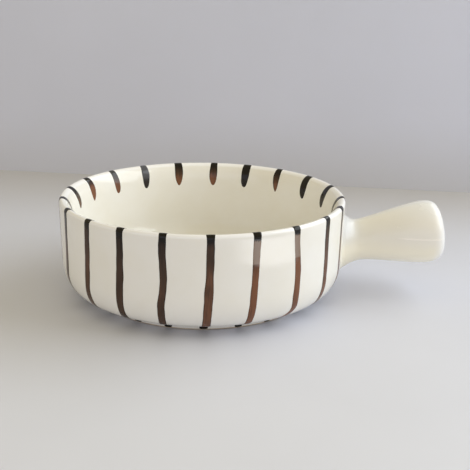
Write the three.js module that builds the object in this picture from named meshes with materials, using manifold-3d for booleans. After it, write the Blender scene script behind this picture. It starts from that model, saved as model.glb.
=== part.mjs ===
// Handled stoneware bowl: an upright-walled bowl on a foot ring, with a hollow stub handle luted to its wall
// and brushed stripes that run from inside the lip down to the foot.
// Millimetres, +Z up, handle along +X. The origin is on the resting plane, under the middle of the length.
import * as THREE from "three";
import { mergeVertices } from "three/addons/utils/BufferGeometryUtils.js";
import Module from "manifold-3d";

// Bowl wall and floor
const rimRadius = 77.5;
const bowlHeight = 55.2;
const wallThickness = 7.2;
const wallDraft = 0.7;
const cornerWidth = 11;
const cornerHeight = 17;
const insideCornerRadius = 14;
const floorThickness = 5;

// Lip: a tight curve outside its crest and a broad one inside
const lipOutsideWidth = 1.5;
const lipOutsideHeight = 2.2;
const lipInsideHeight = 12;

// Foot ring, set in from the corner by a flat ledge, and the recess inside it
const footLedge = 4.4;
const footWidth = 6;
const footHeight = 5.3;
const footEdgeRadius = 1;
const footFilletRadius = 2;
const recessDepth = 4;

// Handle: distances along its axis start at the wall, and its height is where the axis meets the wall
const handleHeight = 28.4;
const handleTilt = THREE.MathUtils.degToRad(7.5);
const handleLength = 56;
const handleWall = 4.5;
const rootRadius = 16.2;
const rootFlare = 1;
const rootSink = 10;
const rootRun = 5;
const neckRadius = 11.4;
const neckDistance = 9;
const neckRun = 7;
const endRadius = 17.2;
const endRun = 8.5;
const capLength = 10;
const capFullness = 0.83;
const ventRadius = 1.5;
const ventDistance = 20;

// Luting slip between the handle's root and the wall
const slipThickness = 0.8;
const slipGap = 0.2;

// Brushed stripes, painted round from the near side of the handle to its far side. The last one ends over it.
const stripeCount = 21;
const stripeWidth = 3.9;
const stripeTipWidth = 1.8;
const nearStripeGap = 6.3;
const farStripeGap = 1.6;
const lateSpread = THREE.MathUtils.degToRad(2.3);
const stripeInsideDepth = 14;
const stripeFootHeight = 1.2;
const stripeHandleGap = 1.5;
const filmThickness = 0.25;
const filmGap = 0.15;

// Facets
const bowlSegments = 72;
const handleSegments = 32;
const handleSteps = 6;
const ventSegments = 16;

const wasm = await Module();
wasm.setup();

// Points along part of an ellipse, between two angles in degrees. It turns clockwise if the second is less.
function arc(x, z, halfWidth, halfHeight, from, to, steps) {
  const [start, end] = [from, to].map(THREE.MathUtils.degToRad);
  return new THREE.EllipseCurve(x, z, halfWidth, halfHeight, start, end, to < from).getPoints(steps);
}

// The point of a straight stretch at a given height
function atHeight(low, high, height) {
  return low.clone().lerp(high, (height - low.y) / (high.y - low.y));
}

// An outline moved to the right of its direction by the same distance everywhere, with mitred corners
function offsetOutline(points, distance) {
  const sides = points.slice(1).map((point, i) => {
    return new THREE.Vector2(point.y - points[i].y, points[i].x - point.x).normalize();
  });
  return points.map((point, i) => {
    const before = sides[Math.max(i - 1, 0)];
    const after = sides[Math.min(i, sides.length - 1)];
    const middle = before.clone().add(after).normalize();
    return point.clone().addScaledVector(middle, distance / middle.dot(before));
  });
}

// A revolved solid that stands on the Z axis
function revolve(outline, segments) {
  return new THREE.LatheGeometry(outline, segments).rotateX(Math.PI / 2);
}

// A closed solid for cutting, from a geometry's bare positions
function solid(geometry) {
  const bare = new THREE.BufferGeometry().setAttribute("position", geometry.attributes.position);
  const merged = mergeVertices(bare.setIndex(geometry.index));
  const vertProperties = merged.attributes.position.array;
  const triVerts = new Uint32Array(merged.index.array);
  return new wasm.Manifold(new wasm.Mesh({ numProp: 3, vertProperties, triVerts }));
}

// A geometry from a solid that has been cut
function cutGeometry(cut) {
  const { vertProperties, triVerts } = cut.getMesh();
  const geometry = new THREE.BufferGeometry();
  geometry.setAttribute("position", new THREE.BufferAttribute(vertProperties, 3));
  geometry.setIndex(new THREE.BufferAttribute(triVerts, 1));
  geometry.computeVertexNormals();
  return geometry;
}

function namedMesh(name, geometry, color, roughness) {
  const material = new THREE.MeshStandardMaterial({ color, roughness, metalness: 0 });
  const mesh = new THREE.Mesh(geometry, material);
  mesh.name = name;
  return mesh;
}

// Bowl outline, in radius and height, from the middle of the underside round to the middle of the floor
const floorTop = recessDepth + floorThickness;
const wallFootRadius = rimRadius - wallDraft;
const cornerCentreRadius = wallFootRadius - cornerWidth;
const lipCrestRadius = rimRadius - lipOutsideWidth;
const footRadius = cornerCentreRadius - footLedge - footFilletRadius;
const footInsideRadius = footRadius - footWidth;
const insideLow = new THREE.Vector2(wallFootRadius - wallThickness, floorTop + insideCornerRadius);
const insideHigh = new THREE.Vector2(rimRadius - wallThickness, bowlHeight - lipInsideHeight);

const underside = [
  new THREE.Vector2(0, recessDepth),
  ...arc(footInsideRadius - footFilletRadius, recessDepth - footFilletRadius,
    footFilletRadius, footFilletRadius, 90, 0, 3),
  ...arc(footInsideRadius + footEdgeRadius, footEdgeRadius, footEdgeRadius, footEdgeRadius, 180, 270, 2),
  ...arc(footRadius - footEdgeRadius, footEdgeRadius, footEdgeRadius, footEdgeRadius, 270, 360, 2),
];
const footFace = [
  new THREE.Vector2(footRadius, stripeFootHeight),
  ...arc(footRadius + footFilletRadius, footHeight - footFilletRadius,
    footFilletRadius, footFilletRadius, 180, 90, 3),
];
const outerWall = [
  ...arc(cornerCentreRadius, footHeight + cornerHeight, cornerWidth, cornerHeight, 270, 360, 8),
  new THREE.Vector2(rimRadius, bowlHeight - lipOutsideHeight),
];
const lip = [
  ...arc(lipCrestRadius, bowlHeight - lipOutsideHeight, lipOutsideWidth, lipOutsideHeight, 0, 90, 4).slice(1),
  ...arc(lipCrestRadius, bowlHeight - lipInsideHeight,
    wallThickness - lipOutsideWidth, lipInsideHeight, 90, 180, 6).slice(1),
];
const stripeTip = atHeight(insideLow, insideHigh, bowlHeight - stripeInsideDepth);
const inside = [
  ...arc(insideLow.x - insideCornerRadius, insideLow.y, insideCornerRadius, insideCornerRadius, 0, -90, 6),
  new THREE.Vector2(0, floorTop),
];

// The stretch of the outline that a stripe is painted on, from the foot ring to its tip inside the bowl
const painted = [...footFace, ...outerWall, ...lip, stripeTip];
const bowlGeometry = revolve([...underside, ...painted, ...inside], bowlSegments);

// Everything inside the bowl's outer wall, grown by a distance, for cutting the handle's root to a saddle
function wallSolid(distance) {
  const skin = offsetOutline(outerWall, distance);
  const bottom = new THREE.Vector2(0, skin[0].y);
  const top = new THREE.Vector2(0, skin[skin.length - 1].y);
  return solid(revolve([bottom, ...skin, top], bowlSegments));
}

// Handle outline, in radius and distance along its axis: flared root, neck, swelling grip and rounded end
function handleOutline(inset) {
  const shoulder = handleLength - capLength;
  const root = rootRadius - inset;
  const neck = neckRadius - inset;
  const end = endRadius - inset;
  const tip = handleLength - inset;
  const path = new THREE.Path();
  path.moveTo(0, -rootSink);
  path.lineTo(root + rootFlare, -rootSink);
  path.lineTo(root, 0);
  path.quadraticCurveTo(neck, rootRun, neck, neckDistance);
  path.bezierCurveTo(neck, neckDistance + neckRun, end, shoulder - endRun, end, shoulder);
  path.bezierCurveTo(end, shoulder + capFullness * (tip - shoulder), capFullness * end, tip, 0, tip);
  return path.getPoints(handleSteps);
}

// Puts a geometry made along +X on the handle's axis
function onHandleAxis(geometry) {
  return geometry.rotateY(-handleTilt).translate(rimRadius, 0, handleHeight);
}

function handleSolid(inset) {
  const geometry = new THREE.LatheGeometry(handleOutline(inset), handleSegments).rotateZ(-Math.PI / 2);
  return solid(onHandleAxis(geometry));
}

// The vent lets air out of the hollow handle in the kiln, on its underside
function ventSolid() {
  const geometry = new THREE.CylinderGeometry(ventRadius, ventRadius, 2 * endRadius, ventSegments);
  return solid(onHandleAxis(geometry.rotateX(Math.PI / 2).translate(ventDistance, 0, -endRadius)));
}

const handleShell = handleSolid(0).subtract(handleSolid(handleWall));
const slip = handleShell.intersect(wallSolid(slipGap + slipThickness)).subtract(wallSolid(slipGap));
const handle = handleShell.subtract(wallSolid(2 * slipGap + slipThickness)).subtract(ventSolid());

// One brushed stripe: a long box bent along the painted stretch and round the bowl, narrower at its tip
function stripeGeometry(path, azimuth) {
  const steps = path.length - 1;
  const back = offsetOutline(path, filmGap);
  const front = offsetOutline(path, filmGap + filmThickness);
  const geometry = new THREE.BoxGeometry(1, 1, steps, 1, 1, steps);
  const corners = geometry.attributes.position;
  for (let i = 0; i < corners.count; i++) {
    const step = Math.round(corners.getZ(i) + steps / 2);
    const face = corners.getY(i) > 0 ? front[step] : back[step];
    const width = step === steps ? stripeTipWidth : stripeWidth;
    const turn = azimuth - (corners.getX(i) * width) / path[step].x;
    corners.setXYZ(i, face.x * Math.cos(turn), face.x * Math.sin(turn), face.y);
  }
  geometry.computeVertexNormals();
  return geometry;
}

// The painted stretch above a height on the outside, for a stripe that ends over the handle
function paintedAbove(height) {
  const first = painted.findIndex((point) => point.y > height);
  return [atHeight(painted[first - 1], painted[first], height), ...painted.slice(first)];
}

const ivoryGlaze = 0xf2eee2;
const paleSlip = 0xe9e1cf;
const brownColour = 0x3f261b;
const glazeRoughness = 0.15;
const slipRoughness = 0.5;

const bowl = new THREE.Group();
bowl.add(
  namedMesh("bowl_body", bowlGeometry, ivoryGlaze, glazeRoughness),
  namedMesh("handle", cutGeometry(handle), ivoryGlaze, glazeRoughness),
  namedMesh("joint_slip", cutGeometry(slip), paleSlip, slipRoughness),
);

// How far round the bowl a stripe stands that runs down beside the handle's root
const rootReach = rootRadius + rootFlare;
function besideHandle(gap) {
  return Math.asin((rootReach + gap + stripeWidth / 2) / rimRadius);
}

// The stripes lie evenly between those two, but for the wider last steps
const stripes = new THREE.Group();
const firstStripe = -besideHandle(nearStripeGap);
const stripeTurn = 2 * Math.PI + firstStripe - besideHandle(farStripeGap);
const stripeStep = (stripeTurn - lateSpread) / (stripeCount - 2);
for (let i = 0; i < stripeCount; i++) {
  const late = Math.max(i + 3 - stripeCount, 0);
  const azimuth = firstStripe - i * stripeStep - late * lateSpread;
  const overHandle = i === stripeCount - 1;
  const path = overHandle ? paintedAbove(handleHeight + rootReach + stripeHandleGap) : painted;
  const geometry = stripeGeometry(path, azimuth);
  const name = "stripe_" + String(i + 1).padStart(2, "0");
  stripes.add(namedMesh(name, geometry, brownColour, glazeRoughness));
}
bowl.add(stripes);

// The bowl's axis stands to one side of the origin, so that the length with the handle is centred
const extent = new THREE.Box3().setFromObject(bowl);
bowl.position.x = -(extent.min.x + extent.max.x) / 2;

const part = new THREE.Group();
part.add(bowl);

export default part;
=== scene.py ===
import math
import bmesh
import bpy
from mathutils import Matrix, Vector


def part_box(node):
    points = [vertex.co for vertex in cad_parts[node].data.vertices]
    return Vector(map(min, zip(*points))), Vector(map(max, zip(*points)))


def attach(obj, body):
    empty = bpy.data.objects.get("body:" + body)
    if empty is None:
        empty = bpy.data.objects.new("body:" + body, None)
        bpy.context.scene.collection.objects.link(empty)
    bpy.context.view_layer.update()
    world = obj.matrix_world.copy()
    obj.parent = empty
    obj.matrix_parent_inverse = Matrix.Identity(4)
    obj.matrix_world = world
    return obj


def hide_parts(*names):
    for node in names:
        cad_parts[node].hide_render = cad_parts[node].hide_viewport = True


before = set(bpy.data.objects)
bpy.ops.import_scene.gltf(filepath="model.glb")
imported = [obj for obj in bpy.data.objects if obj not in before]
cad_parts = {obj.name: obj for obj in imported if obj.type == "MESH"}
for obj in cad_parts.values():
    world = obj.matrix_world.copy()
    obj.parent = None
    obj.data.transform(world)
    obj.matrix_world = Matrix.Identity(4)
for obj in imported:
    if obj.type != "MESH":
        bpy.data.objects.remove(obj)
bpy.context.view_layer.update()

mm = 0.001
scene = bpy.context.scene
scene.view_settings.view_transform = "Standard"

# the bowl's own axis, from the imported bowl: the handle takes the length off centre
bowlLow, bowlHigh = (Vector(corner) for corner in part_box("bowl_body"))
axisX = (bowlLow.x + bowlHigh.x) / 2
print("frame loaded, bowl axis at x =", round(axisX / mm, 3), "mm")


# a place in mm from the foot of the bowl's axis, in the frame's metres
def fromAxis(place):
    return Vector(place) * mm + Vector((axisX, 0, 0))


def clamped(value, low=0, high=1):
    return min(max(value, low), high)


# small helpers for node trees
def addNode(tree, kind, **settings):
    node = tree.nodes.new(kind)
    for name, value in settings.items():
        setattr(node, name, value)
    return node


def feed(tree, socket, value):
    if isinstance(value, bpy.types.NodeSocket):
        tree.links.new(value, socket)
    else:
        socket.default_value = value


def maths(tree, operation, first, second=0.0, clamp=False):
    node = addNode(tree, "ShaderNodeMath", operation=operation, use_clamp=clamp)
    feed(tree, node.inputs[0], first)
    feed(tree, node.inputs[1], second)
    return node.outputs[0]


def times(tree, first, second, clamp=False):
    return maths(tree, "MULTIPLY", first, second, clamp)


def plus(tree, first, second, clamp=False):
    return maths(tree, "ADD", first, second, clamp)


def minus(tree, first, second, clamp=False):
    return maths(tree, "SUBTRACT", first, second, clamp)


def split(tree, vector):
    node = addNode(tree, "ShaderNodeSeparateXYZ")
    feed(tree, node.inputs[0], vector)
    return node.outputs


def combine(tree, *values):
    node = addNode(tree, "ShaderNodeCombineXYZ")
    for socket, value in zip(node.inputs, values):
        feed(tree, socket, value)
    return node.outputs[0]


# a soft step from one value to another while the input runs from low to high
def spread(tree, value, low, high, newLow=0.0, newHigh=1.0):
    node = addNode(tree, "ShaderNodeMapRange", interpolation_type="SMOOTHSTEP")
    feed(tree, node.inputs[0], value)
    for socket, number in zip(list(node.inputs)[1:5], (low, high, newLow, newHigh)):
        socket.default_value = number
    return node.outputs[0]


# the same for a length, with its run in mm
def spreadOver(tree, length, run, newLow=0.0, newHigh=1.0):
    return spread(tree, length, run[0] * mm, run[1] * mm, newLow, newHigh)


def noiseNode(tree, vector, scale, detail=2.0, roughness=0.5):
    node = addNode(tree, "ShaderNodeTexNoise")
    feed(tree, node.inputs["Vector"], vector)
    node.inputs["Scale"].default_value = scale
    node.inputs["Detail"].default_value = detail
    node.inputs["Roughness"].default_value = roughness
    return node.outputs[0]


def mixColour(tree, factor, first, second):
    node = addNode(tree, "ShaderNodeMix", data_type="RGBA")
    feed(tree, node.inputs[0], factor)
    feed(tree, node.inputs[6], first)
    feed(tree, node.inputs[7], second)
    return node.outputs[2]


def bump(tree, height, strength, distance, base=None):
    node = addNode(tree, "ShaderNodeBump")
    node.inputs["Strength"].default_value = strength
    node.inputs["Distance"].default_value = distance
    feed(tree, node.inputs["Height"], height)
    if base is not None:
        feed(tree, node.inputs["Normal"], base)
    return node.outputs[0]


def newMaterial(name):
    material = bpy.data.materials.new(name)
    material.use_nodes = True
    tree = material.node_tree
    shader = tree.nodes["Principled BSDF"]
    return material, tree, shader


def newTree(name, inputs):
    tree = bpy.data.node_groups.new(name, "GeometryNodeTree")
    tree.interface.new_socket("Geometry", in_out="INPUT", socket_type="NodeSocketGeometry")
    for label, kind in inputs:
        tree.interface.new_socket(label, in_out="INPUT", socket_type="NodeSocket" + kind)
    tree.interface.new_socket("Geometry", in_out="OUTPUT", socket_type="NodeSocketGeometry")
    return tree, tree.nodes.new("NodeGroupInput"), tree.nodes.new("NodeGroupOutput")


# a grid with a curve's points in each row and a row for each turn, and a way to read what the curve has there
def followCurve(tree, given, curveName, turnsName):
    info = addNode(tree, "GeometryNodeObjectInfo")
    feed(tree, info.inputs["Object"], given.outputs[curveName])
    curve = info.outputs["Geometry"]
    turns = given.outputs[turnsName]
    size = addNode(tree, "GeometryNodeAttributeDomainSize", component="CURVE")
    feed(tree, size.inputs["Geometry"], curve)
    count = size.outputs["Point Count"]
    grid = addNode(tree, "GeometryNodeMeshGrid")
    feed(tree, grid.inputs["Vertices X"], plus(tree, turns, 1.0))
    feed(tree, grid.inputs["Vertices Y"], count)
    index = addNode(tree, "GeometryNodeInputIndex").outputs[0]
    step = maths(tree, "MODULO", index, count)
    loop = maths(tree, "FLOOR", maths(tree, "DIVIDE", index, count))
    turn = times(tree, maths(tree, "DIVIDE", loop, turns), 2 * math.pi)

    def onCurve(kind, value):
        sample = addNode(tree, "GeometryNodeSampleIndex", data_type=kind, domain="POINT")
        feed(tree, sample.inputs["Geometry"], curve)
        feed(tree, sample.inputs["Value"], value)
        feed(tree, sample.inputs["Index"], step)
        return sample.outputs[0]

    return curve, grid.outputs["Mesh"], turn, onCurve


# points set round the bowl's axis, at a radius, an angle and a height
def placeRound(tree, given, mesh, radius, angle, height):
    sideways = times(tree, radius, maths(tree, "COSINE", angle))
    spot = combine(tree, plus(tree, sideways, given.outputs["Axis X"]),
                   times(tree, radius, maths(tree, "SINE", angle)), height)
    place = addNode(tree, "GeometryNodeSetPosition")
    feed(tree, place.inputs["Geometry"], mesh)
    feed(tree, place.inputs["Position"], spot)
    return place.outputs[0]


# how meshes are closed and smoothed, in mm and degrees
meshSet = {
    "seam": 0.002,
    "doubles": 0.001,
    "sliver": 0.0005,
    "sharp": 50,
}


# seams and poles closed, instances made real, finish set
def closeTree(tree, given, out, geometry, finish):
    merge = addNode(tree, "GeometryNodeMergeByDistance")
    merge.inputs["Distance"].default_value = meshSet["seam"] * mm
    feed(tree, merge.inputs["Geometry"], geometry)
    real = addNode(tree, "GeometryNodeRealizeInstances")
    feed(tree, real.inputs["Geometry"], merge.outputs[0])
    paint = addNode(tree, "GeometryNodeSetMaterial")
    feed(tree, paint.inputs["Geometry"], real.outputs[0])
    feed(tree, paint.inputs["Material"], given.outputs[finish])
    feed(tree, out.inputs[0], paint.outputs[0])


# runs a tree on an empty mesh and keeps the result as a plain mesh at the origin
def growPiece(name, tree, values):
    host = bpy.data.objects.new(name + "_host", bpy.data.meshes.new(name + "_host"))
    scene.collection.objects.link(host)
    modifier = host.modifiers.new("grow", "NODES")
    modifier.node_group = tree
    for item in tree.interface.items_tree:
        if item.in_out == "INPUT" and item.name in values:
            modifier[item.identifier] = values[item.name]
    evaluated = host.evaluated_get(bpy.context.evaluated_depsgraph_get())
    mesh = bpy.data.meshes.new_from_object(evaluated)
    host.modifiers.remove(modifier)
    bpy.data.objects.remove(host)
    mesh.name = name
    return keepMesh(name, mesh)


# smooth, and sharp only at real edges
def smoothMesh(mesh):
    mesh.shade_smooth()
    mesh.set_sharp_from_angle(angle=math.radians(meshSet["sharp"]))


# doubles merged, slivers dropped, faces outward
def keepMesh(name, mesh):
    work = bmesh.new()
    work.from_mesh(mesh)
    bmesh.ops.remove_doubles(work, verts=work.verts, dist=meshSet["doubles"] * mm)
    bmesh.ops.dissolve_degenerate(work, edges=work.edges, dist=meshSet["sliver"] * mm)
    bmesh.ops.recalc_face_normals(work, faces=work.faces)
    work.to_mesh(mesh)
    work.free()
    smoothMesh(mesh)
    piece = bpy.data.objects.new(name, mesh)
    scene.collection.objects.link(piece)
    return piece


def outlineCurve(name, points):
    data = bpy.data.curves.new(name, "CURVE")
    data.dimensions = "3D"
    spline = data.splines.new("POLY")
    spline.points.add(len(points) - 1)
    for point, (radius, height) in zip(spline.points, points):
        point.co = (radius * mm, 0, height * mm, 1)
    curve = bpy.data.objects.new(name, data)
    scene.collection.objects.link(curve)
    return curve


def finishPiece(piece, slot, *nodes):
    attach(piece, "root")
    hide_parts(*nodes)


# camera: matched to the rim, wall, foot and handle in the picture
cameraSet = {
    "eye": (0, -476.5, 180.4),  # mm, from the bowl's axis on the floor
    "pitch": 17.334,
    "yaw": 2.142,
    "roll": 0.949,
    "sensor": 36,
    "lens": 36 * 900 / 470,  # 900 pixels in a picture that is 470 wide
    "clip": 0.01,
}


def makeCamera():
    s = cameraSet
    pitch, yaw, roll = (math.radians(s[key]) for key in ("pitch", "yaw", "roll"))
    ahead = Vector((math.sin(yaw) * math.cos(pitch), math.cos(yaw) * math.cos(pitch), -math.sin(pitch)))
    right = Vector((math.cos(yaw), -math.sin(yaw), 0))
    up = right.cross(ahead)
    tiltedRight = right * math.cos(roll) + up * math.sin(roll)
    tiltedUp = up * math.cos(roll) - right * math.sin(roll)
    data = bpy.data.cameras.new("camera")
    data.sensor_width = s["sensor"]
    data.lens = s["lens"]
    data.clip_start = s["clip"]
    camera = bpy.data.objects.new("camera", data)
    turn = Matrix((tiltedRight, tiltedUp, -ahead)).transposed().to_4x4()
    camera.matrix_world = Matrix.Translation(fromAxis(s["eye"])) @ turn
    scene.collection.objects.link(camera)
    scene.camera = camera


makeCamera()
print("camera placed")


# surface of both glazes: slow ripples and a fine grain
surfaceSet = {
    "grainScale": 1400,
    "grainBump": (0.03, 0.0002),
    "rippleBump": (0.25, 0.0006),
}


def glazeSurface(tree, shader, place, rippleScale):
    grain = noiseNode(tree, place, surfaceSet["grainScale"], 3, 0.6)
    ripple = bump(tree, noiseNode(tree, place, rippleScale, 1, 0.4), *surfaceSet["rippleBump"])
    feed(tree, shader.inputs["Normal"], bump(tree, grain, *surfaceSet["grainBump"], ripple))
    return grain


# glaze on the bowl: warm ivory, cloudy, whiter on the lip where the glaze thins and from a painted highlight,
# bare clay where the foot stands
glazeSet = {
    "ivory": (0.884, 0.873, 0.848, 1),
    "deep": (0.859, 0.839, 0.788, 1),
    # whiter on the lip: thinner glaze, and a painted cool highlight
    "lipThinAndHighlight": (0.945, 0.945, 0.97, 1),
    "bareClay": (0.62, 0.53, 0.42, 1),
    "darkClay": (0.5, 0.41, 0.31, 1),
    "lipRun": (53.3, 54.3),  # mm above the table, as is the next
    "bareRun": (0.9, 1.15),
    "bareWander": 0.4,
    "cloudScale": 38,
    "rippleScale": 70,
    "roughness": (0.07, 0.14),
    "bareRoughness": 0.6,  # added where the clay is bare
}


def ivoryGlaze():
    s = glazeSet
    material, tree, shader = newMaterial("ivoryGlaze")
    place = tree.nodes.new("ShaderNodeTexCoord").outputs["Object"]
    up = split(tree, place)[2]
    grain = glazeSurface(tree, shader, place, s["rippleScale"])
    cloud = noiseNode(tree, place, s["cloudScale"], 4, 0.55)
    colour = mixColour(tree, spread(tree, cloud, 0.3, 0.75), s["ivory"], s["deep"])
    # lip tint: thinner glaze and a painted highlight
    colour = mixColour(tree, spreadOver(tree, up, s["lipRun"]), colour, s["lipThinAndHighlight"])
    bareLine = plus(tree, up, times(tree, cloud, s["bareWander"] * mm))
    glazed = spreadOver(tree, bareLine, s["bareRun"])
    clay = mixColour(tree, spread(tree, grain, 0.35, 0.7), s["bareClay"], s["darkClay"])
    feed(tree, shader.inputs["Base Color"], mixColour(tree, glazed, clay, colour))
    gloss = spread(tree, cloud, 0.25, 0.8, *s["roughness"])
    bare = times(tree, minus(tree, 1.0, glazed), s["bareRoughness"])
    feed(tree, shader.inputs["Roughness"], plus(tree, gloss, bare))
    return material


# bowl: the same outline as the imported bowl, with fine steps
bowlSet = {
    "rimRadius": 77.5,
    "height": 55.2,
    "wall": 7.2,
    "draft": 0.7,
    "cornerWidth": 11,
    "cornerHeight": 17,
    "insideCorner": 14,
    "floor": 5,
    "lipOutWidth": 1.5,
    "lipOutHeight": 2.2,
    "lipInHeight": 12,
    "footLedge": 4.4,
    "footWidth": 6,
    "footHeight": 5.3,
    "footEdge": 1,
    "footFillet": 2,
    "recess": 4,
    "segments": 224,
    "strokeDepth": 13,
    "strokeFoot": 30,  # degrees round the foot's outer edge where the brush stops
}


def arc(x, z, halfWidth, halfHeight, start, end, steps):
    angles = [math.radians(start + (end - start) * i / steps) for i in range(steps + 1)]
    return [(x + halfWidth * math.cos(a), z + halfHeight * math.sin(a)) for a in angles]


def line(start, end, steps):
    return [tuple(a + (b - a) * i / steps for a, b in zip(start, end)) for i in range(steps + 1)]


def joined(*runs):
    points = [runs[0][0]]
    for run in runs:
        for point in run:
            if math.dist(point, points[-1]) > 1e-4:
                points.append(point)
    return points


# from the middle of the underside round to the middle of the floor, and the stretch that the brush follows;
# the last number of each run is its count of steps
def bowlOutline():
    s = bowlSet
    wallFoot = s["rimRadius"] - s["draft"]
    cornerCentre = wallFoot - s["cornerWidth"]
    footRadius = cornerCentre - s["footLedge"] - s["footFillet"]
    footInside = footRadius - s["footWidth"]
    floorTop = s["recess"] + s["floor"]
    crest = s["rimRadius"] - s["lipOutWidth"]
    edge, fillet, corner = s["footEdge"], s["footFillet"], s["insideCorner"]
    lipLow = s["height"] - s["lipOutHeight"]
    wallLow = s["footHeight"] + s["cornerHeight"]
    insideLow = (wallFoot - s["wall"], floorTop + corner)
    insideHigh = (s["rimRadius"] - s["wall"], s["height"] - s["lipInHeight"])
    share = (s["height"] - s["strokeDepth"] - insideLow[1]) / (insideHigh[1] - insideLow[1])
    tip = tuple(a + (b - a) * share for a, b in zip(insideLow, insideHigh))
    underside = joined(
        line((0, s["recess"]), (footInside - fillet, s["recess"]), 14),
        arc(footInside - fillet, s["recess"] - fillet, fillet, fillet, 90, 0, 8),
        arc(footInside + edge, edge, edge, edge, 180, 270, 6),
        line((footInside + edge, 0), (footRadius - edge, 0), 4),
        arc(footRadius - edge, edge, edge, edge, 270, 360 - s["strokeFoot"], 5),
    )
    painted = joined(
        arc(footRadius - edge, edge, edge, edge, 360 - s["strokeFoot"], 360, 3),
        line((footRadius, edge), (footRadius, s["footHeight"] - fillet), 4),
        arc(footRadius + fillet, s["footHeight"] - fillet, fillet, fillet, 180, 90, 8),
        line((footRadius + fillet, s["footHeight"]), (cornerCentre, s["footHeight"]), 5),
        arc(cornerCentre, wallLow, s["cornerWidth"], s["cornerHeight"], 270, 360, 34),
        line((wallFoot, wallLow), (s["rimRadius"], lipLow), 30),
        arc(crest, lipLow, s["lipOutWidth"], s["lipOutHeight"], 0, 90, 12),
        arc(crest, insideHigh[1], s["wall"] - s["lipOutWidth"], s["lipInHeight"], 90, 180, 28),
        line(insideHigh, tip, 3),
    )
    inside = joined(
        line(tip, insideLow, 14),
        arc(insideLow[0] - corner, insideLow[1], corner, corner, 0, -90, 22),
        line((insideLow[0] - corner, floorTop), (0, floorTop), 18),
    )
    return joined(underside, painted, inside), painted[::-1]


# one outline turned round the bowl's axis
def revolveTree():
    tree, given, out = newTree("turnedBowl", [
        ("Outline", "Object"), ("Axis X", "Float"), ("Segments", "Int"), ("Glaze", "Material"),
    ])
    _, mesh, turn, onOutline = followCurve(tree, given, "Outline", "Segments")
    position = addNode(tree, "GeometryNodeInputPosition").outputs[0]
    radius, _, height = split(tree, onOutline("FLOAT_VECTOR", position))
    turned = placeRound(tree, given, mesh, radius, turn, height)
    closeTree(tree, given, out, turned, "Glaze")
    return tree


bowlPoints, brushPoints = bowlOutline()
bowlCurve = outlineCurve("bowl_outline", bowlPoints)
bowlPiece = growPiece("glazed_bowl", revolveTree(), {
    "Outline": bowlCurve,
    "Axis X": axisX,
    "Segments": bowlSet["segments"],
    "Glaze": ivoryGlaze(),
})
finishPiece(bowlPiece, "ivory_glaze", "bowl_body")
bpy.data.objects.remove(bowlCurve)
print("bowl turned:", len(bowlPiece.data.polygons), "faces")


# brush strokes: from a tip inside, over the lip, down the wall and on to the foot ring
strokeSet = {
    "count": 21,
    "start": -19.2,  # degrees round from the handle
    "step": 17,
    "late": (19, 2.3),  # those after the nineteenth are set further apart
    "width": 3.9,
    "footWidth": 1.1,  # times, towards the foot
    "insideWidth": 1.35,  # times the width on the wall
    "tipRun": 9,
    "tipShape": 1.05,
    "footRun": 0.5,
    "film": 0.14,
    "sink": 0.12,
    "wobble": 0.85,
    "wobbleScale": 62.0,
    "edgeWobble": 0.55,  # how far the two edges differ
    "ring": 18,
    "seed": 3.7,
    "handleTop": 47.1,  # the last stroke stops above the handle
    # mm along a stroke from its tip where it narrows, straightens, bows out and back, and turns to the foot
    "fullRun": (8, 20),
    "tipLeanRun": (0, 15),
    "bowRun": (20, 38),
    "bowBackRun": (38, 54),
    "footLeanRun": (58, 74),
    # what a stroke has that isn't listed below, and how much and how fast that varies from stroke to stroke
    "plainNudge": -0.3,
    "plainThin": 0.12,
    "plainDry": 0.55,
    "vary": {"lean": (0.6, 2.1), "width": (0.25, 1.7), "tipRun": (1.5, 2.9), "tipShape": (0.25, 4.3),
             "dry": (0.2, 3.3)},
    # degrees by which a stroke is off its even place, leans down the wall, bows in the middle,
    # or leans at its tip or foot
    "nudge": {2: 0.5, 3: -0.8, 4: -0.25, 5: 0.05, 6: 0.1, 7: 0.5, 8: 1.2, 9: 0.5, 10: -0.4, 11: -0.2,
              12: 0.3, 13: 0, 15: -0.6, 16: -1.2, 17: -0.35, 18: -0.2, 19: -1.5, 20: -0.9, 21: -0.1},
    "leans": {2: 0.1, 3: 3, 4: -2, 5: -2.2, 6: -2.7, 7: -2.9, 8: -4.4, 9: -5.5},
    "bow": {2: 0.3, 3: 0.75, 6: 0.7},
    "tipLean": {11: -2.7, 12: -0.6, 13: -0.8, 16: 0.4, 17: 0.5, 18: -0.2, 19: 0.2, 20: 1.8},
    "footLean": {3: -5},
    # mm off the width
    "slim": {3: 0.2, 4: 0.55, 6: 0.2, 8: 0.35, 12: 0.4, 13: 0.4, 15: 0.5, 16: 0.4, 18: 0.4},
    # how thin the colour lies inside, and on the wall
    "thin": {11: 0.7, 12: 1.5, 13: 1.3, 15: 0.9, 16: 0.9, 18: 0.7},
    "dry": {1: 0.8, 2: 0.75, 3: 1.0, 4: 0.95, 5: 0.75, 6: 0.52, 7: 0.42, 8: 0.6, 9: 0.6},
    # above 0 a painted reflection under the lip, below 0 greyed inside
    "pale": {3: 1.0, 4: 0.9, 13: -0.4, 14: -0.85},
}


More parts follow.
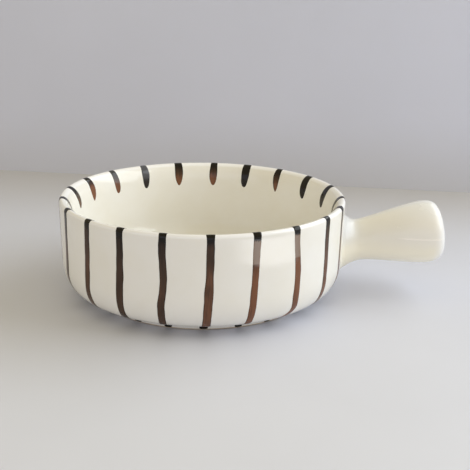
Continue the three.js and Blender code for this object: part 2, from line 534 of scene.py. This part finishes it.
def strokeTree():
    s = strokeSet
    tree, given, out = newTree("brushStroke", [
        ("Path", "Object"), ("Axis X", "Float"), ("Azimuth", "Float"), ("Lean", "Float"),
        ("Width", "Float"), ("Bow", "Float"), ("Tip Lean", "Float"), ("Foot Lean", "Float"),
        ("Foot Width", "Float"), ("Inside Width", "Float"), ("Tip Run", "Float"), ("Tip Shape", "Float"),
        ("Foot Run", "Float"), ("Film", "Float"), ("Sink", "Float"), ("Wobble", "Float"),
        ("Thin", "Float"), ("Dry", "Float"), ("Pale", "Float"), ("Ring", "Int"), ("Seed", "Float"),
        ("Colour", "Material"),
    ])
    asked = given.outputs
    path, mesh, turn, onPath = followCurve(tree, given, "Path", "Ring")
    spot = split(tree, onPath("FLOAT_VECTOR", addNode(tree, "GeometryNodeInputPosition").outputs[0]))
    run = split(tree, onPath("FLOAT_VECTOR", addNode(tree, "GeometryNodeInputTangent").outputs[0]))
    spline = addNode(tree, "GeometryNodeSplineParameter")
    share = onPath("FLOAT", spline.outputs["Factor"])
    length = onPath("FLOAT", spline.outputs["Length"])
    whole = addNode(tree, "GeometryNodeCurveLength")
    feed(tree, whole.inputs[0], path)
    left = minus(tree, whole.outputs[0], length)

    # lens section: across runs from edge to edge, lift is above the glaze or sunk into it
    across = maths(tree, "COSINE", turn)
    lift = maths(tree, "SINE", turn)
    tip = minus(tree, 1.0, maths(tree, "DIVIDE", length, asked["Tip Run"], clamp=True))
    tip = maths(tree, "SQRT", minus(tree, 1.0, times(tree, tip, tip), clamp=True))
    tip = maths(tree, "POWER", tip, asked["Tip Shape"])
    foot = maths(tree, "DIVIDE", left, asked["Foot Run"], clamp=True)
    foot = maths(tree, "POWER", foot, 0.4)
    taper = times(tree, tip, foot)

    # the hand's wobble, a little different along each edge
    wander = combine(tree, times(tree, length, s["wobbleScale"]), times(tree, across, s["edgeWobble"]),
                     asked["Seed"])
    shake = minus(tree, noiseNode(tree, wander, 1.0, 2.0), 0.5)
    shake = times(tree, times(tree, shake, 2.0), asked["Wobble"])
    shake = times(tree, shake, maths(tree, "MINIMUM", taper, 1.0))

    # fuller inside the lip and towards the foot
    half = times(tree, times(tree, asked["Width"], 0.5), taper)
    within = spreadOver(tree, length, s["fullRun"], 1, 0)
    fuller = times(tree, within, minus(tree, asked["Inside Width"], 1.0))
    half = times(tree, half, plus(tree, fuller, 1.0))
    lower = times(tree, share, minus(tree, asked["Foot Width"], 1.0))
    half = times(tree, half, plus(tree, lower, 1.0))
    aside = plus(tree, times(tree, across, half), shake)

    crown = maths(tree, "POWER", maths(tree, "MAXIMUM", lift, 0.0), 0.6)
    crown = times(tree, times(tree, crown, asked["Film"]), taper)
    under = times(tree, maths(tree, "MINIMUM", lift, 0.0), asked["Sink"])
    rise = plus(tree, crown, under)
    radius = minus(tree, spot[0], times(tree, run[2], rise))
    height = plus(tree, spot[2], times(tree, run[0], rise))

    bend = times(tree, times(tree, share, share), asked["Lean"])
    inward = times(tree, spreadOver(tree, length, s["tipLeanRun"], 1, 0), asked["Tip Lean"])
    bend = plus(tree, bend, inward)
    bulge = times(tree, spreadOver(tree, length, s["bowRun"]),
                  spreadOver(tree, length, s["bowBackRun"], 1, 0))
    bend = plus(tree, bend, times(tree, bulge, asked["Bow"]))
    footward = times(tree, spreadOver(tree, length, s["footLeanRun"]), asked["Foot Lean"])
    bend = plus(tree, bend, footward)
    azimuth = plus(tree, asked["Azimuth"], bend)
    azimuth = plus(tree, azimuth, maths(tree, "DIVIDE", aside, spot[0]))
    noted = placeRound(tree, given, mesh, radius, azimuth, height)

    # where each point is on its stroke, and the stroke's load of colour, for the material
    for label, values in (
        ("strokePlace", (across, length, asked["Seed"])),
        ("strokeLoad", (asked["Thin"], asked["Dry"], asked["Pale"])),
    ):
        store = addNode(tree, "GeometryNodeStoreNamedAttribute", data_type="FLOAT_VECTOR", domain="POINT")
        store.inputs["Name"].default_value = label
        feed(tree, store.inputs["Geometry"], noted)
        feed(tree, store.inputs["Value"], combine(tree, *values))
        noted = store.outputs[0]
    closeTree(tree, given, out, noted, "Colour")
    return tree


# iron brown under the glaze: black where it lies thick, red brown where the brush ran dry
brownSet = {
    "black": (0.007, 0.005, 0.004, 1),
    "brown": (0.055, 0.03, 0.019, 1),
    "red": (0.19, 0.08, 0.042, 1),
    # painted reflection under the lip, a pale greyish brown
    "paintedReflection": (0.25, 0.18, 0.14, 1),
    "greyed": (0.105, 0.108, 0.125, 1),
    "ior": 1.34,
    "roughness": (0.04, 0.1),
    # mm along a stroke from its tip
    "insideRun": (3, 14),
    "lipRun": (18, 23),
    "wallRun": (23, 40),
    "footRun": (66, 73),
    "paintedReflectionFrom": (19.2, 20.4),
    "paintedReflectionTo": (31, 32),
    "greyedFrom": (4, 8),
    "greyedTo": (15, 19),
    "ragged": 2.5,
    # how much of the dryness comes just below the lip, and how much further down
    "lipShare": 0.55,
    "wallShare": 0.45,
    "patches": 0.9,
    "streaks": 0.7,
}


def brushedBrown():
    s = brownSet
    material, tree, shader = newMaterial("brushedBrown")
    shader.inputs["IOR"].default_value = s["ior"]
    mark = addNode(tree, "ShaderNodeAttribute", attribute_name="strokePlace")
    load = addNode(tree, "ShaderNodeAttribute", attribute_name="strokeLoad")
    across, along, seed = split(tree, mark.outputs["Vector"])
    thin, dried, pale = split(tree, load.outputs["Vector"])
    # streaks that run with the brush
    bristle = combine(tree, times(tree, across, 2.6), times(tree, along, 55.0), seed)
    streak = noiseNode(tree, bristle, 1.6, 4, 0.6)
    streaked = minus(tree, streak, 0.5)
    # pools and thin places along the stroke
    pool = combine(tree, times(tree, across, 0.5), times(tree, along, 60.0), plus(tree, seed, 40.0))
    patch = noiseNode(tree, pool, 1.0, 2, 0.5)
    uneven = plus(tree, times(tree, minus(tree, patch, 0.5), s["patches"]),
                  times(tree, streaked, s["streaks"]))
    # the brush is full at the lip, runs dry down the wall and leaves a dark end on the foot
    belowLip = plus(tree, spreadOver(tree, along, s["lipRun"], 0, s["lipShare"]),
                    spreadOver(tree, along, s["wallRun"], 0, s["wallShare"]))
    ended = spreadOver(tree, along, s["footRun"], 1, 0)
    outside = times(tree, times(tree, belowLip, ended), dried)
    inside = times(tree, spreadOver(tree, along, s["insideRun"], 1, 0), thin)
    dry = maths(tree, "MAXIMUM", outside, inside)
    # colour gathers along both edges
    edge = spread(tree, maths(tree, "ABSOLUTE", across), 0.72, 0.98, 0, 0.3)
    dry = minus(tree, dry, edge, clamp=True)
    dry = plus(tree, dry, times(tree, uneven, plus(tree, dry, 0.1)), clamp=True)
    colour = mixColour(tree, spread(tree, dry, 0.0, 0.5), s["black"], s["brown"])
    colour = mixColour(tree, spread(tree, dry, 0.4, 1.0), colour, s["red"])
    # stretches with a painted reflection under the lip, and stretches greyed inside, with ragged ends
    ragged = plus(tree, along, times(tree, streaked, s["ragged"] * mm))
    # painted reflection: a paler stretch below the lip on the strokes that have it
    paintedReflection = times(tree, spreadOver(tree, ragged, s["paintedReflectionFrom"]),
                   spreadOver(tree, ragged, s["paintedReflectionTo"], 1, 0))
    paintedReflection = times(tree, paintedReflection, pale, clamp=True)
    colour = mixColour(tree, paintedReflection, colour, s["paintedReflection"])
    greyed = times(tree, spreadOver(tree, ragged, s["greyedFrom"], 0.2, 1),
                   spreadOver(tree, along, s["greyedTo"], 1, 0))
    greyed = times(tree, greyed, times(tree, pale, -1.0), clamp=True)
    colour = mixColour(tree, greyed, colour, s["greyed"])
    feed(tree, shader.inputs["Base Color"], colour)
    feed(tree, shader.inputs["Roughness"], spread(tree, streak, 0.2, 0.8, *s["roughness"]))
    feed(tree, shader.inputs["Normal"], bump(tree, streak, 0.1, 0.0002))
    return material


def paintStrokes():
    s = strokeSet
    tree = strokeTree()
    colour = brushedBrown()
    whole = outlineCurve("brush_path", brushPoints)
    crest = max(range(len(brushPoints)), key=lambda i: brushPoints[i][1])
    overHandle = [point for i, point in enumerate(brushPoints) if point[1] > s["handleTop"] or i < crest]
    short = outlineCurve("brush_path_short", overHandle)
    even, extra = s["late"]
    for i in range(s["count"]):
        number = i + 1
        vary = {key: amount * math.sin(rate * number) for key, (amount, rate) in s["vary"].items()}
        azimuth = s["start"] - i * s["step"] - max(number - even, 0) * extra
        azimuth += s["nudge"].get(number, s["plainNudge"])
        stroke = growPiece("stroke_%02d" % number, tree, {
            "Path": short if number == s["count"] else whole,
            "Axis X": axisX,
            "Azimuth": math.radians(azimuth),
            "Lean": math.radians(s["leans"].get(number, vary["lean"])),
            "Bow": math.radians(s["bow"].get(number, 0)),
            "Tip Lean": math.radians(s["tipLean"].get(number, 0)),
            "Foot Lean": math.radians(s["footLean"].get(number, 0)),
            "Width": (s["width"] + vary["width"] - s["slim"].get(number, 0)) * mm,
            "Foot Width": s["footWidth"],
            "Inside Width": s["insideWidth"],
            "Tip Run": (s["tipRun"] + vary["tipRun"]) * mm,
            "Tip Shape": s["tipShape"] + vary["tipShape"],
            "Foot Run": s["footRun"] * mm,
            "Film": s["film"] * mm,
            "Sink": s["sink"] * mm,
            "Wobble": s["wobble"] * mm,
            "Thin": s["thin"].get(number, s["plainThin"]),
            "Dry": s["dry"].get(number, s["plainDry"] + vary["dry"]),
            "Pale": s["pale"].get(number, 0),
            "Ring": s["ring"],
            "Seed": s["seed"] * number,
            "Colour": colour,
        })
        finishPiece(stroke, "brown_stripe", "stripe_%02d" % number)
    bpy.data.objects.remove(whole)
    bpy.data.objects.remove(short)


paintStrokes()
print("strokes painted:", strokeSet["count"])


# handle: cast grip on a tilted axis, its root spread on to the wall, with a fillet of slip round it
handleSet = {
    "height": 28.4,  # where the axis meets the wall
    "tilt": 7.5,
    "length": 55.9,
    "root": 16.2,
    "rootRun": 5,
    "neck": 11.4,
    "neckAt": 9,
    "neckRun": 7,
    "end": 17.2,
    "endRun": 8.5,
    "cap": 10,
    "capFullness": 0.83,
    "steps": (26, 44, 36),  # along the root, the belly and the cap
    "columns": 180,
    "saddleRun": 10,  # how far out the root still follows the wall
    "wallSearch": (-14.0, 8.0),  # mm along the axis
    "searchSteps": 40,
    "slipRun": 1.5,
    "slipSpread": 1.2,
    "slipBend": (0.35, 0.62),
    "slipEdge": 0.12,
    "slipSink": 1.2,
    "slipInset": 0.4,
    "slipHole": (9, 8.6),  # radius at the wall and at the grip
    "slipSteps": 14,
    "seam": 0.09,
    "seamWidth": 2.2,  # degrees to each side
    "seamHeight": 34.6,
    "seamFrom": (28, 5),  # where the seam starts, and how fast it comes up
    "seamTo": (1, 6),  # where it ends before the cap, and how fast it fades
    "ventRadius": 1.5,
    "ventAt": 20,
    "ventSides": 40,
    "ventEdge": ((6.5, 0), (1.1, 0), (0.45, 0.12), (0.1, 0.45), (-0.8, 1.4)),  # depth, added radius
}


def bezier(points, steps):
    found = []
    for i in range(steps + 1):
        level = [Vector(point) for point in points]
        while len(level) > 1:
            level = [a.lerp(b, i / steps) for a, b in zip(level, level[1:])]
        found.append(tuple(level[0]))
    return found


# outside radius of the bowl's wall at a height
def wallRadius(z):
    s = bowlSet
    wallLow = s["footHeight"] + s["cornerHeight"]
    foot = s["rimRadius"] - s["draft"]
    if z >= wallLow:
        return foot + s["draft"] * (z - wallLow) / (s["height"] - s["lipOutHeight"] - wallLow)
    fall = min((wallLow - z) / s["cornerHeight"], 1)
    return foot - s["cornerWidth"] + s["cornerWidth"] * math.sqrt(1 - fall * fall)


handleTilt = math.radians(handleSet["tilt"])
handleAlong = Vector((math.cos(handleTilt), 0, math.sin(handleTilt)))
handleUp = Vector((-math.sin(handleTilt), 0, math.cos(handleTilt)))
handleBase = Vector((bowlSet["rimRadius"], 0, handleSet["height"]))


def handlePoint(distance, radius, angle):
    out = handleUp * math.sin(angle) + Vector((0, 1, 0)) * math.cos(angle)
    return handleBase + handleAlong * distance + out * radius


# how far along its axis a line at this radius and angle meets the wall
def wallMeets(radius, angle):
    low, high = handleSet["wallSearch"]
    for _ in range(handleSet["searchSteps"]):
        middle = (low + high) / 2
        point = handlePoint(middle, radius, angle)
        if math.hypot(point.x, point.y) > wallRadius(point.z):
            high = middle
        else:
            low = middle
    return high


def handleOutline():
    s = handleSet
    shoulder = s["length"] - s["cap"]
    full = s["capFullness"]
    rootSteps, bellySteps, capSteps = s["steps"]
    root = bezier([(0, s["root"]), (s["rootRun"], s["neck"]), (s["neckAt"], s["neck"])], rootSteps)
    belly = bezier([(s["neckAt"], s["neck"]), (s["neckAt"] + s["neckRun"], s["neck"]),
                    (shoulder - s["endRun"], s["end"]), (shoulder, s["end"])], bellySteps)
    cap = bezier([(shoulder, s["end"]), (shoulder + full * s["cap"], s["end"]),
                  (s["length"], full * s["end"]), (s["length"], 0)], capSteps)
    return joined(root, belly, cap)


# the mould's parting line, a faint level ridge on both sides of the grip
def seamRise(distance, radius, angle):
    s = handleSet
    width = math.radians(s["seamWidth"])
    level = s["seamHeight"] - s["height"] - distance * math.sin(handleTilt)
    parting = math.asin(clamped(level / (radius * math.cos(handleTilt)), -1, 1))
    turn = min(abs(math.remainder(angle - side, 2 * math.pi)) for side in (parting, math.pi - parting))
    if turn >= width:
        return 0
    start, rising = s["seamFrom"]
    short, falling = s["seamTo"]
    fade = clamped((distance - start) / rising) * clamped((s["length"] - short - distance) / falling)
    return s["seam"] * fade * (1 + math.cos(math.pi * turn / width)) / 2


# rows of points round the axis; each row is (distance, radius, how much it follows the wall)
def rowsMesh(name, rows, closeStart):
    s = handleSet
    columns = s["columns"]
    verts = []
    ridges = []
    faces = []
    for distance, radius, follow in rows:
        for k in range(columns):
            angle = 2 * math.pi * k / columns
            saddle = wallMeets(max(radius, 1), angle) * follow
            ridge = seamRise(distance, radius, angle)
            ridges.append(ridge / s["seam"])
            verts.append(fromAxis(handlePoint(distance + saddle, radius + ridge, angle)))
    for j in range(len(rows) - 1):
        a, b = j * columns, (j + 1) * columns
        for k in range(columns):
            after = (k + 1) % columns
            faces.append((a + k, a + after, b + after, b + k))
    if closeStart:
        faces.append(tuple(range(columns)))
    mesh = bpy.data.meshes.new(name)
    mesh.from_pydata(verts, [], faces)
    mesh.attributes.new("ridge", "FLOAT", "POINT").data.foreach_set("value", ridges)
    return mesh


def followAt(distance):
    share = clamped(1 - distance / handleSet["saddleRun"])
    return share * share * (3 - 2 * share)


def makeGrip(rows):
    s = handleSet
    grip = rowsMesh("handle_grip", rows, True)
    work = bmesh.new()
    work.from_mesh(grip)
    work.verts.ensure_lookup_table()
    last = [work.verts[(len(rows) - 1) * s["columns"] + k] for k in range(s["columns"])]
    pole = work.verts.new(fromAxis(handlePoint(s["length"], 0, 0)))
    for a, b in zip(last, last[1:] + last[:1]):
        work.faces.new((a, b, pole))
    work.to_mesh(grip)
    work.free()
    piece = keepMesh("handle_grip", grip)
    cutVent(piece)
    return piece


# a ring that starts level with the grip's first row, spreads on to the wall and is closed behind
def makeSlip(distance, radius, follow):
    s = handleSet
    edge = s["root"] + s["slipSpread"]
    nearer, wider = s["slipBend"]
    outside = bezier([(distance, radius), (nearer * distance, radius + wider * distance),
                      (0.0, s["root"] + 0.5 * s["slipSpread"]), (-s["slipEdge"], edge)], s["slipSteps"])
    wallHole, gripHole = s["slipHole"]
    rows = [(d, r, followAt(max(d, 0))) for d, r in outside]
    rows.append((-s["slipSink"], edge - s["slipInset"], 1))
    rows.append((-s["slipSink"], wallHole, 1))
    rows.append((distance - s["slipInset"], gripHole, follow))
    slip = rowsMesh("slip_fillet", rows, False)
    work = bmesh.new()
    work.from_mesh(slip)
    work.verts.ensure_lookup_table()
    last = (len(rows) - 1) * s["columns"]
    for k in range(s["columns"]):
        after = (k + 1) % s["columns"]
        work.faces.new([work.verts[i] for i in (last + k, last + after, after, k)])
    work.to_mesh(slip)
    work.free()
    return keepMesh("slip_fillet", slip)


# vent hole under the grip, with a glaze-softened edge
def cutVent(piece):
    s = handleSet
    profile = [(depth, s["ventRadius"] + added) for depth, added in s["ventEdge"]]
    surface = min(handleOutline(), key=lambda point: abs(point[0] - s["ventAt"]))[1]
    sides = s["ventSides"]
    verts = []
    for depth, radius in profile:
        for k in range(sides):
            angle = 2 * math.pi * k / sides
            along = s["ventAt"] + radius * math.cos(angle)
            point = handleBase + handleAlong * along - handleUp * (surface - depth)
            verts.append(fromAxis(point + Vector((0, radius * math.sin(angle), 0))))
    faces = [tuple(range(sides)), tuple(reversed(range((len(profile) - 1) * sides, len(profile) * sides)))]
    for j in range(len(profile) - 1):
        for k in range(sides):
            after = (k + 1) % sides
            faces.append((j * sides + k, (j + 1) * sides + k, (j + 1) * sides + after, j * sides + after))
    mesh = bpy.data.meshes.new("vent_cutter")
    mesh.from_pydata(verts, [], faces)
    cutter = keepMesh("vent_cutter", mesh)
    modifier = piece.modifiers.new("vent", "BOOLEAN")
    modifier.operation = "DIFFERENCE"
    modifier.solver = "EXACT"
    modifier.object = cutter
    evaluated = piece.evaluated_get(bpy.context.evaluated_depsgraph_get())
    cut = bpy.data.meshes.new_from_object(evaluated)
    piece.modifiers.remove(modifier)
    piece.data = cut
    # many-sided faces round the hole split, slivers dropped
    work = bmesh.new()
    work.from_mesh(cut)
    bmesh.ops.triangulate(work, faces=[face for face in work.faces if len(face.verts) > 4])
    bmesh.ops.dissolve_degenerate(work, dist=meshSet["sliver"] * mm, edges=work.edges)
    work.to_mesh(cut)
    work.free()
    smoothMesh(cut)
    bpy.data.objects.remove(cutter)


# glaze on the handle: thicker towards the neck; painted light makes it whiter on top and at the end, painted
# shade greyer at the top of the root, painted floor bounce warmer underneath
gripSet = {
    "ivory": (0.866, 0.84, 0.793, 1),
    "deep": (0.785, 0.755, 0.685, 1),
    # lighter on the seam's ridge: thinner glaze there, and a painted glint
    "seam": (0.99, 0.95, 0.895, 1),
    # painted top light: cool white on top
    "crown": (0.84, 0.847, 0.875, 1),
    # painted floor bounce: warmer underneath
    "belly": (0.967, 0.917, 0.768, 1),
    # painted light at the end
    "end": (0.88, 0.885, 0.91, 1),
    # painted shade: greyer at the top of the root
    "root": (0.7, 0.705, 0.725, 1),
    # mm out from the bowl's axis
    "neckRun": (83, 122),
    "endRun": (125, 133),
    "rootRun": (79, 89),
    # mm above the table
    "topLightRun": (42, 54),
    "bounceLightRun": (25, 36),
    "rootShadeRise": (28, 40),
    "cloudScale": 45,
    "rippleScale": 85,
    "roughness": (0.2, 0.3),
}


def handleGlaze():
    s = gripSet
    material, tree, shader = newMaterial("handleGlaze")
    place = tree.nodes.new("ShaderNodeTexCoord").outputs["Object"]
    glazeSurface(tree, shader, place, s["rippleScale"])
    out, _, up = split(tree, place)
    cloud = noiseNode(tree, place, s["cloudScale"], 4, 0.55)

    def outward(run, near, far):
        return spread(tree, out, axisX + run[0] * mm, axisX + run[1] * mm, near, far)

    deep = plus(tree, outward(s["neckRun"], 0.85, 0), spread(tree, cloud, 0.3, 0.8, 0.0, 0.3), clamp=True)
    # painted shade on the root, strongest at its top
    root = times(tree, outward(s["rootRun"], 0.95, 0), spreadOver(tree, up, s["rootShadeRise"], 0.1, 1))
    # the seam's ridge, tinted lighter for thinner glaze and a painted glint
    ridge = addNode(tree, "ShaderNodeAttribute", attribute_name="ridge").outputs["Fac"]
    colour = s["ivory"]
    # crown, belly, end and root paint light and shade into the colour
    for name, factor in (
        ("deep", deep),
        ("crown", spreadOver(tree, up, s["topLightRun"])),
        ("belly", spreadOver(tree, up, s["bounceLightRun"], 1, 0)),
        ("end", outward(s["endRun"], 0, 1)),
        ("root", root),
        ("seam", ridge),
    ):
        colour = mixColour(tree, factor, colour, s[name])
    feed(tree, shader.inputs["Base Color"], colour)
    feed(tree, shader.inputs["Roughness"], spread(tree, cloud, 0.25, 0.8, *s["roughness"]))
    return material


def makeHandle():
    outline = handleOutline()
    rows = [(d, r, followAt(d)) for d, r in outline if d >= handleSet["slipRun"] and r > 0.01]
    return makeGrip(rows), makeSlip(*rows[0])


gripPiece, slipPiece = makeHandle()
gripGlaze = handleGlaze()
for handlePiece in (gripPiece, slipPiece):
    handlePiece.data.materials.clear()
    handlePiece.data.materials.append(gripGlaze)
finishPiece(gripPiece, "handle_glaze", "handle")
finishPiece(slipPiece, "joint_slip", "joint_slip")
print("handle made:", len(gripPiece.data.polygons), "faces")


# table top and backdrop, pale and plain, with painted shade darkening both where they meet
stageSet = {
    "floor": (0.703, 0.723, 0.828, 1),
    # painted shade where the table meets the backdrop
    "floorCornerShade": (0.604, 0.593, 0.606, 1),
    "floorShadeRun": 0.17,  # m from the meeting line over which the colour changes
    "floorRoughness": 0.5,
    "backdrop": (0.691, 0.713, 0.841, 1),
    # painted shade at the backdrop's foot
    "backdropCornerShade": (0.645, 0.66, 0.757, 1),
    "backdropShadeRun": 0.06,
    "backdropRoughness": 0.8,
    "backLeft": (-174.6, 284.9),  # mm from the bowl's axis, where the backdrop meets the table
    "backRight": (217.2, 218.5),
    "reach": 3.0,
    "backHeight": 0.22,
    "mottleScale": 9,
    "mottleDark": 0.97,
}


def stageMaterial(name, colour, shaded, run, roughness):
    material, tree, shader = newMaterial(name)
    coordinates = tree.nodes.new("ShaderNodeTexCoord")
    mottle = noiseNode(tree, coordinates.outputs["Object"], stageSet["mottleScale"], 3, 0.5)
    darker = tuple(stageSet["mottleDark"] * part for part in colour[:3]) + (1,)
    tone = mixColour(tree, spread(tree, mottle, 0.3, 0.7), colour, darker)
    # painted shade, darker towards the meeting line
    near = spread(tree, split(tree, coordinates.outputs["UV"])[1], 0, run, 1, 0)
    feed(tree, shader.inputs["Base Color"], mixColour(tree, near, tone, shaded))
    shader.inputs["Roughness"].default_value = roughness
    # one-sided, so that it hides nothing from behind
    clear = addNode(tree, "ShaderNodeBsdfTransparent")
    side = addNode(tree, "ShaderNodeNewGeometry")
    oneSided = addNode(tree, "ShaderNodeMixShader")
    surface = next(node for node in tree.nodes if node.type == "OUTPUT_MATERIAL")
    feed(tree, oneSided.inputs[0], side.outputs["Backfacing"])
    feed(tree, oneSided.inputs[1], shader.outputs[0])
    feed(tree, oneSided.inputs[2], clear.outputs[0])
    feed(tree, surface.inputs["Surface"], oneSided.outputs[0])
    return material


def makeStage():
    s = stageSet
    left = fromAxis((*s["backLeft"], 0))
    right = fromAxis((*s["backRight"], 0))
    along = (right - left).normalized()
    front = Vector((along.y, -along.x, 0))
    middle = (left + right) / 2
    ends = [middle - along * s["reach"], middle + along * s["reach"]]  # left, right
    rise = Vector((0, 0, s["backHeight"]))
    reach = front * s["reach"]
    floorFinish = (s["floor"], s["floorCornerShade"], s["floorShadeRun"] / s["reach"], s["floorRoughness"])
    backFinish = (s["backdrop"], s["backdropCornerShade"], s["backdropShadeRun"] / s["backHeight"],
                  s["backdropRoughness"])
    for name, run, first, last, finish in (
        ("table_top", reach, *ends, floorFinish),
        ("backdrop", rise, *reversed(ends), backFinish),
    ):
        corners = [first, first + run, last + run, last]  # so that the face looks at the bowl
        mesh = bpy.data.meshes.new(name)
        mesh.from_pydata(corners, [], [(0, 1, 2, 3)])
        away = mesh.uv_layers.new(name="away")  # from the meeting line outwards
        for corner, spot in zip(away.data, ((0, 0), (0, 1), (1, 1), (1, 0))):
            corner.uv = spot
        mesh.materials.append(stageMaterial(name, *finish))
        plane = bpy.data.objects.new(name, mesh)
        scene.collection.objects.link(plane)


makeStage()
print("stage set")


# light: a large soft window on the right and a little behind, a weak fill from the front,
# a low strip beside the bowl, and a warm room
lightSet = {
    "window": {"azimuth": 12, "elevation": 30, "distance": 1.1, "size": (1.6, 0.9), "watts": 13.8,
               "colour": (0.922, 1.0, 1.077)},
    "fill": {"azimuth": -110, "elevation": 12, "distance": 1.1, "size": (1.4, 0.5), "watts": 1.27,
             "colour": (0.887, 1.0, 1.43)},
    "aimHeight": 30,  # mm, as are the strip's places
    "strip": {"left": (37.3, -126.4), "right": (93.7, -68.2), "low": 20.5, "high": 37, "spread": 90},
    "stripRuns": ((0.0, 0.12, 0.35), (0.12, 0.25, 0.7), (0.25, 1.0, 1.05)),  # start, end, strength
    "room": (1.0, 0.885, 0.6),
    "roomStrength": 0.626,
}


def areaLight(name, centre, target, size, watts, colour=(1, 1, 1)):
    data = bpy.data.lights.new(name, "AREA")
    data.shape = "RECTANGLE"
    data.size, data.size_y = size
    data.energy = watts
    data.color = colour
    light = bpy.data.objects.new(name, data)
    turn = (target - centre).to_track_quat("-Z", "Y").to_matrix().to_4x4()
    light.matrix_world = Matrix.Translation(centre) @ turn
    light.visible_camera = False
    scene.collection.objects.link(light)
    return light


def makeLight():
    target = fromAxis((0, 0, lightSet["aimHeight"]))
    for name in ("window", "fill"):
        s = lightSet[name]
        azimuth, elevation = math.radians(s["azimuth"]), math.radians(s["elevation"])
        flat = math.cos(elevation)
        aim = Vector((flat * math.cos(azimuth), flat * math.sin(azimuth), math.sin(elevation)))
        areaLight(name, target + aim * s["distance"], target, s["size"], s["watts"], s["colour"])
    # the low strip only shows as a reflection in the glaze, and fades towards its left end
    strip = lightSet["strip"]
    middle = (strip["low"] + strip["high"]) / 2
    left, right = (fromAxis((*strip[key], middle)) for key in ("left", "right"))
    along = (right - left).normalized()
    for start, end, strength in lightSet["stripRuns"]:
        centre = left.lerp(right, (start + end) / 2)
        size = ((right - left).length * (end - start), (strip["high"] - strip["low"]) * mm)
        watts = strength * math.pi * size[0] * size[1]
        reflector = areaLight("strip", centre, centre + Vector((-along.y, along.x, 0)), size, watts)
        reflector.visible_diffuse = False
        reflector.data.spread = math.radians(strip["spread"])
    world = bpy.data.worlds.new("room")
    world.use_nodes = True
    background = world.node_tree.nodes["Background"]
    background.inputs["Color"].default_value = (*lightSet["room"], 1)
    background.inputs["Strength"].default_value = lightSet["roomStrength"]
    scene.world = world


makeLight()
print("lights set")
